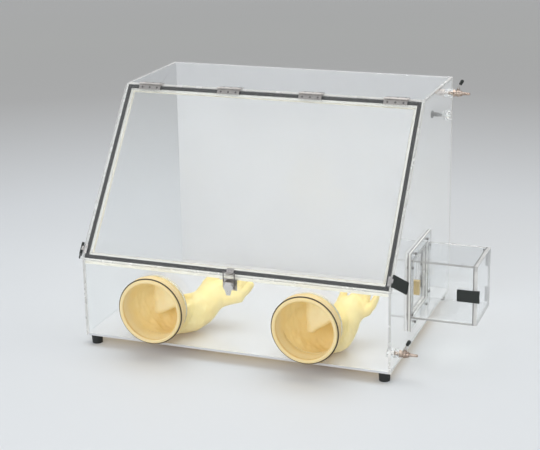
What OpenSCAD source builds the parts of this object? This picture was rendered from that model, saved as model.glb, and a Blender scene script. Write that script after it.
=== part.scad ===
// Benchtop acrylic glove box with a sloped lift-up door, two glove ports and a side pass box.
// The chamber is described from its lower front left corner: X to the right, Y to the back, Z up.

/* [Chamber] */
// Outside width of the chamber
chamber_w = 800; // [760:10:1000]
// Outside depth of the chamber at its base
chamber_d = 600; // [600:10:700]
// Outside height of the chamber without its feet
chamber_h = 595; // [590:5:700]
// Height of the upright front panel
front_h = 200; // [200:5:230]
// Depth of the flat roof
roof_d = 300; // [260:10:320]
// Thickness of the acrylic panels
panel_t = 6; // [5:1:8]
// Height of the rubber feet
foot_h = 25; // [18:1:40]

/* [Door] */
// Thickness of the sloped door
door_t = 6; // [5:1:8]
// Thickness of the foam gasket under the door
gasket_t = 3; // [2:0.5:4]
// Width of the foam gasket
gasket_w = 9; // [6:1:12]
// Distance from the slope's edges to the middle of the gasket
gasket_inset = 11; // [11:0.5:14]
// How far the rails around the door opening reach in from the panels
rail_w = 17; // [12:1:30]
// Thickness of the rails around the door opening
rail_t = 10; // [6:1:12]
// Length of each door hinge
hinge_l = 60; // [50:2:80]

/* [Glove ports] */
// Outside diameter of the port rings
port_d = 160; // [150:2:170]
// Wall of the port rings
port_wall = 5; // [4:0.5:6]
// Distance between the two ports
port_gap = 400; // [360:10:460]
// How far the port rings stand out of the front panel
port_out = 40; // [30:1:50]

/* [Pass box] */
// Length of the pass box tunnel
tunnel_l = 154; // [140:1:220]
// Outside width and height of the tunnel
tunnel_s = 152; // [140:1:160]
// Wall of the tunnel
tunnel_wall = 5; // [4:0.5:6]
// Width and height of the flange on the chamber wall
flange_s = 200; // [196:2:210]
// Thickness of the flange
flange_t = 8; // [6:1:10]

/* [Latches] */
// Length of each black clip
clip_l = 52; // [48:1:60]
// Width of each black clip
clip_w = 30; // [26:1:36]
// Angle at which the two door clips stand off the side walls
clip_rest = 26; // [10:1:60]

/* [Hidden] */
$fn = 48;

CLEAR = [0.86, 0.92, 0.94, 0.35];
RAIL = [0.9, 0.9, 0.82, 0.5];
OPAL = [0.93, 0.94, 0.95];
BLACK = [0.12, 0.14, 0.14];
STEEL = [0.78, 0.76, 0.75];
BRASS = [0.8, 0.62, 0.4];
LATEX = [0.91, 0.84, 0.6];
TAN = [0.8, 0.7, 0.48];

gap = 0.1;               // gap between a closed door and its gasket
seam = 0.05;             // glue line or butt joint between strips
slope = atan2(chamber_h - front_h, chamber_d - roof_d);
slope_l = norm([chamber_d - roof_d, chamber_h - front_h]);
door_n = gasket_t + gap + door_t;   // height of the door's outer face above the slope

leaf_t = 1.2;
knuckle_r = 2.9;
hinge_up = 3;            // height of a door hinge's axis above the faces that its leaves lie on
hinge_pin_r = 1.5;
pin_play = 0.05;
hinge_z = chamber_h + hinge_up;
hinge_n = door_n + hinge_up;
hinge_s = (hinge_z - front_h - hinge_n * cos(slope)) / sin(slope);
hinge_y = hinge_s * cos(slope) - hinge_n * sin(slope);
door_l = hinge_s - 2.6;
hinge_reach = 3.4;       // from the axis to the edge of a leaf's plate
leaf_w = 15.5;           // from the axis to the far edge of the door leaf
roof_leaf_w = 28;
roof_screw = 19;         // from the axis to the screws of a roof leaf
door_screw = 9.4;
hinge_xs = [for (i = [0:3]) chamber_w * (0.0875 + 0.275 * i)];

port_r = port_d / 2;
port_xs = [chamber_w / 2 - port_gap / 2, chamber_w / 2 + port_gap / 2];
port_z = 100;
port_in = 10;            // how far a port ring reaches behind the panel's outer face
latex_t = 1.5;
o_ring_r = 1.5;
cuff_r = port_r + 0.4 + latex_t;

pass_y = 252.5;
pass_z = 150;
tunnel_in = tunnel_s / 2 - tunnel_wall;
flange_bolt = [88, 60];  // bolt offsets from the flange's middle, across and along each side
pass_gasket_t = 3;
pass_door_t = 8;
pass_door_x = chamber_w + tunnel_l + pass_gasket_t + gap;
pass_door_face = pass_door_x + pass_door_t;
inner_door_s = 158;
inner_door_t = 5;
inner_gasket_t = 2;
inner_door_face = chamber_w - panel_t - inner_gasket_t - gap - inner_door_t;
small_r = 2.4;           // barrel radius of the small hinges
small_up = 2.5;
small_pin_r = 1;
outer_axis = [chamber_w + tunnel_l + 2.5, pass_y + tunnel_s / 2 + small_up];
inner_axis = [inner_door_face - small_up, pass_y + inner_door_s / 2 + 1.5];
outer_hinge_zs = [-47, 47];
outer_hinge_l = 40;
inner_hinge_zs = [-30, 30];
inner_hinge_l = 34;
handle_y = -2;
handle_zs = [-30, -10];
handle_half = 6;
handle_out = 15;
nut_h = 3.2;
bolt_r = 2;

clip_out = 2.5;          // clip pivot's distance from the wall
clip_up = 3.4;           // clip pivot's height above the door's outer face
clip_r = 2.8;
clip_pin_r = 1.2;
clip_t = 3;
clip_lip = 1.2;          // raised edge at the clip's free end
clip_in = 0.5;           // pivot to the clip's inner face
clip_hook = 42;          // pivot to the hooking face
clip_s = 13;             // door clips' distance up the slope

toggle_y = -12;
toggle_z = 186;
loop_pivot = [toggle_y + 1.2, toggle_z - 9.5];
loop_bar = on_slope(4.15, 17);
loop_r = 1.4;
loop_half = 14.4;
ear_x = [9, 10.4];
flange_x = [10.7, 12];
toggle_pin_r = 1.6;
ear_r = 3.4;             // rounded end of the base's ears and the lever's flanges
small_hole_r = 1.3;

small_screw = [1.2, 5, 2.2, 1];
hinge_screw = [1.5, 5.5, 2.8, 1.3];

foot_inset = 20;
foot_r = 15;
foot_base_r = 13;
foot_recess = 12;
foot_screw_r = 2.5;
lower_valve = [40, 38];
upper_valve = [560, 560];
vent = [560, 500];
boss_r = 11;
vent_boss_r = 13;
valve_x = 24;            // ball's distance from the wall
barb_end = 55;
barb_r = 3.5;
ball_r = 5;
valve_bore = 2.5;
vent_bore = 4.2;

left_sleeve = [
    [[0, 11.5, 0], 74.5, 0, 0], [[16, 45, -20], 60, 18, -18], [[42, 92, -34], 47, 32, 0],
    [[74, 134, -22], 34, 38, 20]
];
right_sleeve = [
    [[0, 11.5, 0], 74.5, 0, 0], [[8, 45, -20], 60, 8, -18], [[24, 92, -34], 47, 16, 0],
    [[42, 134, -22], 34, 20, 20]
];

x_low = -clip_out - (clip_in + clip_t + clip_lip) * cos(clip_rest) - clip_l * sin(clip_rest);
x_high = pass_door_face + clip_up + clip_r;
y_low = -port_out - latex_t - 0.4;
mid = [(x_low + x_high) / 2, (y_low + chamber_d) / 2];

// ---------- placing ----------
module home() {
    translate([-mid.x, -mid.y, foot_h]) children();
}

module slope_frame() {
    translate([0, 0, front_h]) rotate([slope, 0, 0]) children();
}

// Extrudes a Y-Z outline from x0 to x1
module along_x(x0, x1) {
    translate([x0, 0, 0]) rotate([90, 0, 90]) linear_extrude(x1 - x0) children();
}

module block(low, high) {
    translate(low) cube(high - low);
}

module rod_x(r, x0, x1) {
    translate([x0, 0, 0]) rotate([0, 90, 0]) cylinder(r = r, h = x1 - x0);
}

module rod_y(r, y0, y1) {
    translate([0, y0, 0]) rotate([-90, 0, 0]) cylinder(r = r, h = y1 - y0);
}

// Pan-head screw pointing down -Z from a seat at z = 0
// size is [radius, length, head radius, head height]
module screw(size) {
    r = size[0];
    l = size[1];
    head_r = size[2];
    head_h = size[3];
    difference() {
        union() {
            translate([0, 0, -l]) cylinder(r = r, h = l);
            cylinder(r1 = head_r, r2 = head_r * 0.8, h = head_h);
        }
        for (a = [0, 90])
            rotate(a) translate([0, 0, head_h]) cube([head_r * 1.1, head_r * 0.25, 0.8], center = true);
    }
}

// A point on the slope, from its distance up it and its height above it, in the Y-Z plane
function on_slope(s, n) = [s * cos(slope) - n * sin(slope), front_h + s * sin(slope) + n * cos(slope)];

// ---------- chamber ----------
module at_feet() {
    for (x = [foot_inset, chamber_w - foot_inset], y = [foot_inset, chamber_d - foot_inset])
        translate([x, y, 0]) children();
}

module base_panel() {
    home() color(OPAL) difference() {
        block([panel_t, 0, 0], [chamber_w - panel_t, chamber_d, panel_t]);
        at_feet() translate([0, 0, -1]) cylinder(r = foot_screw_r + pin_play, h = 6.2);
    }
}

module back_panel() {
    home() color(OPAL)
        block([panel_t, chamber_d - panel_t, panel_t], [chamber_w - panel_t, chamber_d, chamber_h]);
}

module side_outline() {
    polygon([[0, 0], [chamber_d, 0], [chamber_d, chamber_h], [chamber_d - roof_d, chamber_h], [0, front_h]]);
}

module left_side_panel() {
    home() color(CLEAR) along_x(0, panel_t) side_outline();
}

module at_flange_bolts() {
    for (q = [0:3], side = [-1, 1])
        translate([chamber_w, pass_y, pass_z]) rotate([90 * q, 0, 0])
            translate([0, side * flange_bolt[1], flange_bolt[0]]) children();
}

module at_wall(p) {
    translate([chamber_w, p.x, p.y]) children();
}

module right_side_panel() {
    home() color(CLEAR) difference() {
        along_x(chamber_w - panel_t, chamber_w) side_outline();
        at_pass() square_block(tunnel_in, chamber_w - 10, chamber_w + 10);
        at_flange_bolts() rod_x(bolt_r + 0.1, -10, 10);
        at_wall(lower_valve) rod_x(boss_r, -10, 10);
        at_wall(upper_valve) rod_x(boss_r, -10, 10);
        at_wall(vent) rod_x(vent_boss_r, -10, 10);
    }
}

module at_hinges() {
    for (x = hinge_xs) translate([x, 0, 0]) children();
}

module at_hinge_screws() {
    for (x = hinge_xs, i = [-1:1]) translate([x + i * hinge_l * 0.34, 0, 0]) children();
}

module top_panel() {
    front_y = on_slope((chamber_h - panel_t - front_h) / sin(slope), 0).x;
    home() color(CLEAR) difference() {
        along_x(panel_t, chamber_w - panel_t) polygon([
            [front_y, chamber_h - panel_t], [chamber_d - panel_t, chamber_h - panel_t],
            [chamber_d - panel_t, chamber_h], [chamber_d - roof_d, chamber_h]
        ]);
        at_hinge_screws() translate([0, hinge_y + roof_screw, chamber_h - 5]) cylinder(r = 1.6, h = 6);
    }
}

module front_panel() {
    seam_s = panel_t / cos(slope);
    home() color(CLEAR) difference() {
        along_x(panel_t, chamber_w - panel_t) polygon([
            [0, panel_t], [panel_t, panel_t], on_slope(seam_s, 0), [0, front_h]
        ]);
        for (x = port_xs) translate([x, 0, port_z]) rod_y(port_r, -10, 20);
        at_toggle() at_toggle_screws() rod_y(small_hole_r, -1, 5);
    }
}

// Four rails glued inside the slope's edge
module door_frame_rails() {
    seam_s = panel_t / cos(slope);
    top_s = (chamber_h - panel_t - front_h) / sin(slope);
    low_s = panel_t + rail_w;
    high_s = slope_l - low_s;
    inner_y = on_slope(0, -rail_t).x;
    inner_z = on_slope(0, -rail_t).y;
    home() color(RAIL) {
        along_x(panel_t, chamber_w - panel_t) polygon([
            on_slope(seam_s, 0), on_slope(low_s, 0), on_slope(low_s, -rail_t),
            on_slope((panel_t - inner_y) / cos(slope), -rail_t)
        ]);
        along_x(panel_t, chamber_w - panel_t) polygon([
            on_slope(top_s, 0), on_slope(high_s, 0), on_slope(high_s, -rail_t),
            on_slope((chamber_h - panel_t - inner_z) / sin(slope), -rail_t)
        ]);
        for (x = [panel_t, chamber_w - panel_t - rail_w])
            slope_frame() block([x, low_s + seam, -rail_t], [x + rail_w, high_s - seam, 0]);
    }
}

module door_gasket() {
    a = gasket_inset - gasket_w / 2;
    b = gasket_inset + gasket_w / 2;
    top = slope_l - a - 1;
    home() color(BLACK) slope_frame() {
        block([a, a, 0], [chamber_w - a, b, gasket_t]);
        block([a, top - gasket_w, 0], [chamber_w - a, top, gasket_t]);
        for (x = [a, chamber_w - b])
            block([x, b + seam, 0], [x + gasket_w, top - gasket_w - seam, gasket_t]);
    }
}

// ---------- door ----------
module door_panel() {
    home() color(CLEAR) difference() {
        slope_frame() block([0, 0, gasket_t + gap], [chamber_w, door_l, door_n]);
        slope_frame() at_hinge_screws()
            translate([0, hinge_s - door_screw, door_n - 5]) cylinder(r = 1.6, h = 6);
        slope_frame() at_strike_screws() cylinder(r = small_hole_r, h = 10, center = true);
        left_clip_frame() at_bracket_screws() cylinder(r = small_hole_r, h = 10, center = true);
        right_clip_frame() at_bracket_screws() cylinder(r = small_hole_r, h = 10, center = true);
    }
}

// ---------- hinges ----------
// One leaf with its axis along X: the plate lies below the axis and reaches towards +Y
module hinge_leaf(l, first, r, up, reach, w, bore) {
    segment = l / 5;
    difference() {
        union() {
            block([-l / 2, reach, -up], [l / 2, w, -up + leaf_t]);
            for (i = [first:2:4]) {
                x0 = -l / 2 + i * segment + 0.15;
                x1 = x0 + segment - 0.3;
                rod_x(r, x0, x1);
                block([x0, 0, -up], [x1, reach + 0.5, -up + leaf_t]);
            }
        }
        rod_x(bore, -l, l);
    }
}

module roof_hinge_leaves() {
    home() color(STEEL) difference() {
        at_hinges() translate([0, hinge_y, hinge_z])
            hinge_leaf(hinge_l, 1, knuckle_r, hinge_up, hinge_reach, roof_leaf_w, hinge_pin_r);
        at_hinge_screws() translate([0, hinge_y + roof_screw, chamber_h - 1]) cylinder(r = 1.6, h = 6);
    }
}

module door_hinge_leaves() {
    home() color(STEEL) difference() {
        slope_frame() at_hinges() translate([0, hinge_s, hinge_n]) rotate(180)
            hinge_leaf(hinge_l, 0, knuckle_r, hinge_up, hinge_reach, leaf_w, hinge_pin_r + pin_play);
        slope_frame() at_hinge_screws()
            translate([0, hinge_s - door_screw, door_n - 1]) cylinder(r = 1.6, h = 6);
    }
}

module door_hinge_pins() {
    home() color(STEEL) at_hinges() translate([0, hinge_y, hinge_z]) {
        rod_x(hinge_pin_r, -hinge_l / 2 - 1, hinge_l / 2 + 4);
        rod_x(hinge_pin_r + 0.6, hinge_l / 2 + 0.3, hinge_l / 2 + 4);
    }
}

module roof_hinge_screws() {
    home() color(STEEL)
        at_hinge_screws() translate([0, hinge_y + roof_screw, chamber_h + leaf_t]) screw(hinge_screw);
}

module door_hinge_screws() {
    home() color(STEEL) slope_frame()
        at_hinge_screws() translate([0, hinge_s - door_screw, door_n + leaf_t]) screw(hinge_screw);
}

// ---------- toggle latch in the middle of the front ----------
module at_toggle() {
    translate([chamber_w / 2, 0, 0]) children();
}

module at_toggle_screws() {
    for (x = [-6, 6], z = [-14, -6]) translate([x, 0, toggle_z + z]) children();
}

// On the door's outer face, in the slope's frame
module at_strike_screws() {
    for (x = [-4, 4]) translate([chamber_w / 2 + x, 12, door_n]) children();
}

// Y-Z outline on both sides of the latch's middle
module both_sides(x0, x1) {
    for (s = [0, 1]) mirror([s, 0, 0]) along_x(x0, x1) children();
}

module toggle_base() {
    home() color(STEEL) at_toggle() difference() {
        union() {
            block([-17, -leaf_t, toggle_z - 20], [17, 0, toggle_z + 9]);
            both_sides(ear_x[0], ear_x[1]) {
                polygon([
                    [0, toggle_z - 7], [toggle_y, toggle_z - ear_r],
                    [toggle_y, toggle_z + ear_r], [0, toggle_z + 7]
                ]);
                translate([toggle_y, toggle_z]) circle(r = ear_r);
            }
        }
        translate([0, toggle_y, toggle_z]) rod_x(toggle_pin_r, -20, 20);
        at_toggle_screws() rod_y(small_hole_r, -5, 5);
    }
}

module toggle_lever() {
    home() color(STEEL) at_toggle() difference() {
        union() {
            translate([0, toggle_y - 4, 0]) rotate([90, 0, 0]) linear_extrude(leaf_t) polygon([
                [-8.6, toggle_z + 5], [8.6, toggle_z + 5], [8.6, toggle_z - 2], [12, toggle_z - 2],
                [12, toggle_z - 13], [8.5, toggle_z - 15], [5, toggle_z - 28],
                [-5, toggle_z - 28], [-8.5, toggle_z - 15], [-12, toggle_z - 13],
                [-12, toggle_z - 2], [-8.6, toggle_z - 2]
            ]);
            both_sides(flange_x[0], flange_x[1]) {
                polygon([
                    [toggle_y - 4.6, toggle_z + 5],
                    [toggle_y, toggle_z + ear_r], [toggle_y + ear_r, toggle_z],
                    [loop_pivot.x + 3, loop_pivot.y], [loop_pivot.x, loop_pivot.y - 3],
                    [toggle_y - 4.6, toggle_z - 13]
                ]);
                translate([toggle_y, toggle_z]) circle(r = ear_r);
                translate(loop_pivot) circle(r = 3);
            }
        }
        translate([0, toggle_y, toggle_z]) rod_x(toggle_pin_r + pin_play, -20, 20);
        translate([0, loop_pivot.x, loop_pivot.y]) rod_x(loop_r + pin_play, -20, 20);
    }
}

module toggle_loop() {
    run = loop_bar - loop_pivot;
    corner_r = loop_r + 0.15;
    home() color(STEEL) at_toggle() {
        translate([0, loop_bar.x, loop_bar.y]) rod_x(loop_r, -loop_half, loop_half);
        for (s = [0, 1]) mirror([s, 0, 0]) {
            translate([0, loop_pivot.x, loop_pivot.y]) rod_x(loop_r, flange_x[0] + 0.1, loop_half);
            for (p = [loop_bar, loop_pivot]) translate([loop_half, p.x, p.y]) sphere(r = corner_r);
            translate([loop_half, loop_pivot.x, loop_pivot.y])
                rotate([-atan2(run.x, run.y), 0, 0]) cylinder(r = loop_r, h = norm(run));
        }
    }
}

module toggle_strike() {
    half = 9;
    hook = 10.8;
    low = 1.3;
    home() color(STEEL) slope_frame() difference() {
        translate([chamber_w / 2, 0, door_n]) {
            block([-half, low, 0], [half, 18, leaf_t]);
            block([-half, low, 0], [half, low + leaf_t, hook]);
            block([-half, low, hook - leaf_t], [half, 4, hook]);
        }
        at_strike_screws() cylinder(r = small_hole_r, h = 10, center = true);
    }
}

module toggle_pin() {
    home() color(STEEL) at_toggle() translate([0, toggle_y, toggle_z]) rod_x(toggle_pin_r, -12.3, 12.3);
}

module toggle_screws() {
    home() color(STEEL) at_toggle() at_toggle_screws()
        translate([0, -leaf_t, 0]) rotate([90, 0, 0]) screw(small_screw);
}

module strike_screws() {
    home() color(STEEL) {
        slope_frame() at_strike_screws() translate([0, 0, leaf_t]) screw(small_screw);
        left_clip_frame() at_bracket_screws() screw(small_screw);
        right_clip_frame() at_bracket_screws() screw(small_screw);
    }
}

// ---------- clip latches ----------
// Clip frame: X away from the wall, Y along the pivot, Z out of the door
module right_clip_frame() {
    slope_frame() translate([chamber_w + clip_out, clip_s, door_n + clip_up]) children();
}

module left_clip_frame() {
    slope_frame() translate([-clip_out, clip_s, door_n + clip_up]) mirror([1, 0, 0]) children();
}

module pass_clip_frame() {
    translate([pass_door_face + clip_up, pass_y - tunnel_s / 2 - clip_out, pass_z + clip_w / 2])
        rotate([-90, 0, -90]) children();
}

// Screw seats on a bracket, in the clip frame
module at_bracket_screws() {
    for (y = [7, 23]) translate([-9, y, -clip_up + leaf_t]) children();
}

module clip(angle) {
    middle = clip_w / 3;
    rotate([0, -angle, 0]) difference() {
        union() {
            block([clip_in, 0, -clip_l], [clip_in + clip_t, clip_w, -4]);
            for (y = [0, clip_w - middle + 0.3]) {
                block([clip_in, y, -5], [clip_in + clip_t, y + middle - 0.3, 0]);
                rod_y(clip_r, y, y + middle - 0.3);
            }
            block([clip_in + clip_t - 0.5, 0, -5], [clip_in + clip_t + 0.3, clip_w, clip_r]);
            block([-1.5, 6, -clip_hook - 3], [clip_in + 0.1, clip_w - 6, -clip_hook]);
            block([clip_in + clip_t - 0.5, 2, -clip_l],
                  [clip_in + clip_t + clip_lip, clip_w - 2, -clip_l + 2]);
        }
        rod_y(clip_pin_r + pin_play, -1, clip_w + 1);
    }
}

module clip_bracket() {
    middle = clip_w / 3;
    difference() {
        union() {
            block([-13, 3, -clip_up], [-3, clip_w - 3, -clip_up + leaf_t]);
            block([-4, middle + 0.1, -clip_up], [0, 2 * middle - 0.1, -clip_up + leaf_t]);
            rod_y(clip_r, middle + 0.1, 2 * middle - 0.1);
        }
        rod_y(clip_pin_r, -1, clip_w + 1);
        at_bracket_screws() cylinder(r = small_hole_r, h = 5, center = true);
    }
}

module clip_catch() {
    block([-clip_out, 8, -clip_hook + 0.4], [-0.9, clip_w - 8, -clip_hook + 4.4]);
}

module left_clip() {
    home() color(BLACK) left_clip_frame() clip(clip_rest);
}

module right_clip() {
    home() color(BLACK) right_clip_frame() clip(clip_rest);
}

module pass_clip() {
    home() color(BLACK) pass_clip_frame() clip(0);
}

module door_clip_brackets() {
    home() color(STEEL) {
        left_clip_frame() clip_bracket();
        right_clip_frame() clip_bracket();
    }
}

module pass_clip_bracket() {
    home() color(STEEL) pass_clip_frame() clip_bracket();
}

module door_clip_pins() {
    home() color(STEEL) {
        left_clip_frame() rod_y(clip_pin_r, 0.2, clip_w - 0.2);
        right_clip_frame() rod_y(clip_pin_r, 0.2, clip_w - 0.2);
    }
}

module pass_clip_pin() {
    home() color(STEEL) pass_clip_frame() rod_y(clip_pin_r, 0.2, clip_w - 0.2);
}

module pass_clip_screws() {
    home() color(STEEL) pass_clip_frame() at_bracket_screws() screw(small_screw);
}

module clip_catches() {
    home() color(STEEL) {
        left_clip_frame() clip_catch();
        right_clip_frame() clip_catch();
        pass_clip_frame() clip_catch();
    }
}

// ---------- glove ports and gloves ----------
module at_port(i) {
    translate([port_xs[i], 0, port_z]) children();
}

// Turns a profile of radius and depth about a port's axis
module around_port() {
    rotate([-90, 0, 0]) rotate_extrude($fn = 96) children();
}

module port_rings() {
    home() color(CLEAR) for (i = [0, 1]) at_port(i) difference() {
        rod_y(port_r, -port_out, port_in);
        rod_y(port_r - port_wall, -port_out - 1, port_in + 1);
    }
}

module port_o_rings() {
    home() color(BLACK) for (i = [0, 1]) at_port(i)
        around_port() translate([cuff_r + o_ring_r + 0.1, -port_out + 4]) circle(r = o_ring_r, $fn = 24);
}

// Latex stretched over the ring's rim, from a bead outside it to the sleeve inside it
module cuff() {
    lip = -port_out - 0.4;
    inner = port_r - port_wall - 0.4;
    around_port() {
        translate([inner - latex_t, lip - latex_t]) square([cuff_r - inner + latex_t, latex_t]);
        translate([cuff_r - latex_t, lip - 0.1]) square([latex_t, 26]);
        translate([cuff_r, lip + 26]) circle(r = 1.6, $fn = 16);
        translate([inner - latex_t, lip - 0.1]) square([latex_t, port_in + 2.5 - lip]);
    }
}

// A thin disc across the glove's sleeve, facing along yaw and pitch
module sleeve_disc(p, r, yaw, pitch) {
    translate(p) rotate([pitch, 0, -yaw]) rotate([-90, 0, 0]) cylinder(r = r, h = 1, $fn = 32);
}

// Bends are [place, radius, yaw, pitch] from the mouth to the wrist, relative to the port's middle
module sleeve(bends, shrink) {
    for (i = [0:len(bends) - 2]) hull() for (b = [bends[i], bends[i + 1]])
        sleeve_disc(b[0], b[1] - shrink, b[2], b[3]);
}

module finger(a, b, ra, rb) {
    hull() {
        translate(a) sphere(r = ra, $fn = 14);
        translate(b) sphere(r = rb, $fn = 14);
    }
}

// Palm between the wrist and the knuckles, then fingers from the knuckles to their tips
module hand(wrist, palm, knuckles, tips, thumb) {
    hull() {
        translate(wrist) sphere(r = 27, $fn = 20);
        translate(palm) sphere(r = 24, $fn = 20);
    }
    hull() {
        translate(palm) sphere(r = 24, $fn = 20);
        for (k = knuckles) translate(k) sphere(r = 13, $fn = 14);
    }
    for (i = [0:len(tips) - 1]) finger(knuckles[i], tips[i], 12, 10);
    finger(thumb[0], thumb[1], 15, 11);
}

module left_glove() {
    home() color(LATEX) at_port(0) {
        cuff();
        difference() {
            sleeve(left_sleeve, 0);
            sleeve([left_sleeve[0], left_sleeve[1]], 2.2);
            sleeve([left_sleeve[1], left_sleeve[2]], 2.2);
            sleeve_disc([0, 11, 0], 72.3, 0, 0);
        }
        hand([74, 134, -22], [94, 160, -6],
             [[94, 172, 16], [112, 174, 12], [130, 174, 8], [146, 172, 2]],
             [[96, 180, 42], [122, 182, 42], [148, 182, 38], [168, 178, 28]],
             [[64, 152, 0], [54, 176, 40]]);
    }
}

module right_glove() {
    home() color(LATEX) at_port(1) {
        cuff();
        difference() {
            sleeve(right_sleeve, 0);
            sleeve([right_sleeve[0], right_sleeve[1]], 2.2);
            sleeve([right_sleeve[1], right_sleeve[2]], 2.2);
            sleeve_disc([0, 11, 0], 72.3, 0, 0);
        }
        hand([42, 134, -22], [56, 160, -6],
             [[40, 174, 14], [54, 176, 16], [68, 176, 14], [82, 174, 6]],
             [[44, 184, 44], [60, 186, 48], [76, 184, 46], [100, 178, 38]],
             [[28, 154, -2], [16, 176, 38]]);
    }
}

// ---------- feet ----------
module rubber_feet() {
    home() color(BLACK) at_feet() translate([0, 0, -foot_h]) difference() {
        cylinder(r1 = foot_base_r, r2 = foot_r, h = foot_h);
        translate([0, 0, -1]) cylinder(r = 6.5, h = foot_recess + 1);
        translate([0, 0, -1]) cylinder(r = foot_screw_r + 0.1, h = foot_h + 2);
    }
}

module foot_screws() {
    home() color(STEEL) at_feet() translate([0, 0, -foot_h + foot_recess]) mirror([0, 0, 1])
        screw([foot_screw_r, foot_h - foot_recess + 5, 5, 3.2]);
}

// ---------- pass box ----------
module at_pass() {
    translate([0, pass_y, pass_z]) children();
}

// Square block centred on the pass box's axis, of the given half-size, from x0 to x1
module square_block(half, x0, x1) {
    block([x0, -half, -half], [x1, half, half]);
}

// Square frame as four strips, from half-size a to half-size b, lying between x0 and x1
module strips(a, b, x0, x1) {
    for (s = [-1, 1]) {
        block([x0, -b, min(s * a, s * b)], [x1, b, max(s * a, s * b)]);
        block([x0, min(s * a, s * b), -a + seam], [x1, max(s * a, s * b), a - seam]);
    }
}

module pass_flange() {
    home() color(CLEAR) difference() {
        at_pass() square_block(flange_s / 2, chamber_w, chamber_w + flange_t);
        at_pass() square_block(tunnel_s / 2, chamber_w - 1, chamber_w + 20);
        at_flange_bolts() rod_x(bolt_r + 0.1, -10, 20);
    }
}

module pass_flange_bolts() {
    home() color(STEEL) at_flange_bolts() translate([flange_t, 0, 0]) rotate([0, 90, 0])
        screw([bolt_r, flange_t + panel_t + 5, 3.6, 2.4]);
}

module pass_flange_nuts() {
    home() color(STEEL) at_flange_bolts() difference() {
        translate([-panel_t - nut_h, 0, 0]) rotate([0, 90, 0]) cylinder(r = 4, h = nut_h, $fn = 6);
        rod_x(bolt_r + pin_play, -20, 0);
    }
}

module pass_tunnel() {
    home() color(CLEAR) at_pass() strips(tunnel_in, tunnel_s / 2, chamber_w, chamber_w + tunnel_l);
}

module pass_gaskets() {
    x1 = chamber_w + tunnel_l;
    x0 = chamber_w - panel_t;
    home() color(BLACK) at_pass() {
        strips(tunnel_in, tunnel_s / 2, x1, x1 + pass_gasket_t);
        strips(tunnel_in, tunnel_in + 6, x0 - inner_gasket_t, x0);
    }
}

module pass_outer_door() {
    home() color(CLEAR) difference() {
        at_pass() square_block(tunnel_s / 2, pass_door_x, pass_door_face);
        pass_clip_frame() at_bracket_screws() cylinder(r = small_hole_r, h = 10, center = true);
    }
}

module at_outer_hinges() {
    for (z = outer_hinge_zs) translate([outer_axis.x, outer_axis.y, pass_z + z]) children();
}

module at_inner_hinges() {
    for (z = inner_hinge_zs) translate([inner_axis.x, inner_axis.y, pass_z + z]) children();
}

// Turns a hinge leaf so that its axis is upright. The plate reaches along X or Y, towards side
module leaf_along_x(side) {
    rotate([-90, -90 * side, 0]) children();
}

module leaf_along_y(side) {
    rotate([side < 0 ? 180 : 0, -90 * side, 0]) children();
}

module pass_outer_hinge_leaves() {
    home() color(BLACK) at_outer_hinges() leaf_along_x(1)
        hinge_leaf(outer_hinge_l, 0, small_r, small_up, 3, 8.4, small_pin_r + pin_play);
}

module pass_inner_hinge_leaves() {
    home() color(STEEL) at_inner_hinges() leaf_along_y(-1)
        hinge_leaf(inner_hinge_l, 0, small_r, small_up, 3, 16, small_pin_r + pin_play);
}

module pass_frame_hinge_leaves() {
    home() color(BLACK) at_outer_hinges() leaf_along_x(-1)
        hinge_leaf(outer_hinge_l, 1, small_r, small_up, 3, 10, small_pin_r);
}

module pass_wall_hinge_leaves() {
    home() color(STEEL) at_inner_hinges() leaf_along_y(1)
        hinge_leaf(inner_hinge_l, 1, small_r, small_up, 3, 18, small_pin_r);
}

// Spacers that bring the inner door's hinges level with its face
module pass_hinge_blocks() {
    depth = inner_door_t + inner_gasket_t + gap;
    home() color(CLEAR) at_inner_hinges()
        block([small_up, 1.5, -inner_hinge_l / 2], [small_up + depth, 19, inner_hinge_l / 2]);
}

module pass_hinge_pins() {
    home() color(STEEL) {
        at_outer_hinges() cylinder(r = small_pin_r, h = outer_hinge_l + 2, center = true);
        at_inner_hinges() cylinder(r = small_pin_r, h = inner_hinge_l + 2, center = true);
    }
}

module pass_inner_door() {
    home() color(CLEAR) at_pass() difference() {
        square_block(inner_door_s / 2, inner_door_face, inner_door_face + inner_door_t);
        for (z = handle_zs) translate([0, handle_y, z]) rod_x(2, inner_door_face - 1, inner_door_face + 10);
    }
}

// A pull block on each side of the inner door, joined through it by two studs
module pass_inner_handle() {
    x0 = inner_door_face;
    x1 = inner_door_face + inner_door_t;
    home() color(TAN) at_pass() translate([0, handle_y, 0]) {
        for (x = [[x0 - handle_out, x0], [x1, x1 + handle_out - 1]])
            block([x[0], -handle_half, handle_zs[0] - 8], [x[1], handle_half, handle_zs[1] + 8]);
        for (z = handle_zs) translate([0, 0, z]) rod_x(2, x0 - 1, x1 + 1);
    }
}

// ---------- fittings on the right wall ----------
module wall_bosses() {
    home() color(CLEAR) {
        for (p = [lower_valve, upper_valve]) at_wall(p) difference() {
            rod_x(boss_r, -18, 11);
            rod_x(4, -20, 20);
        }
        at_wall(vent) difference() {
            rod_x(vent_boss_r, -16, 5);
            rod_x(6, -20, 20);
        }
    }
}

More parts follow.
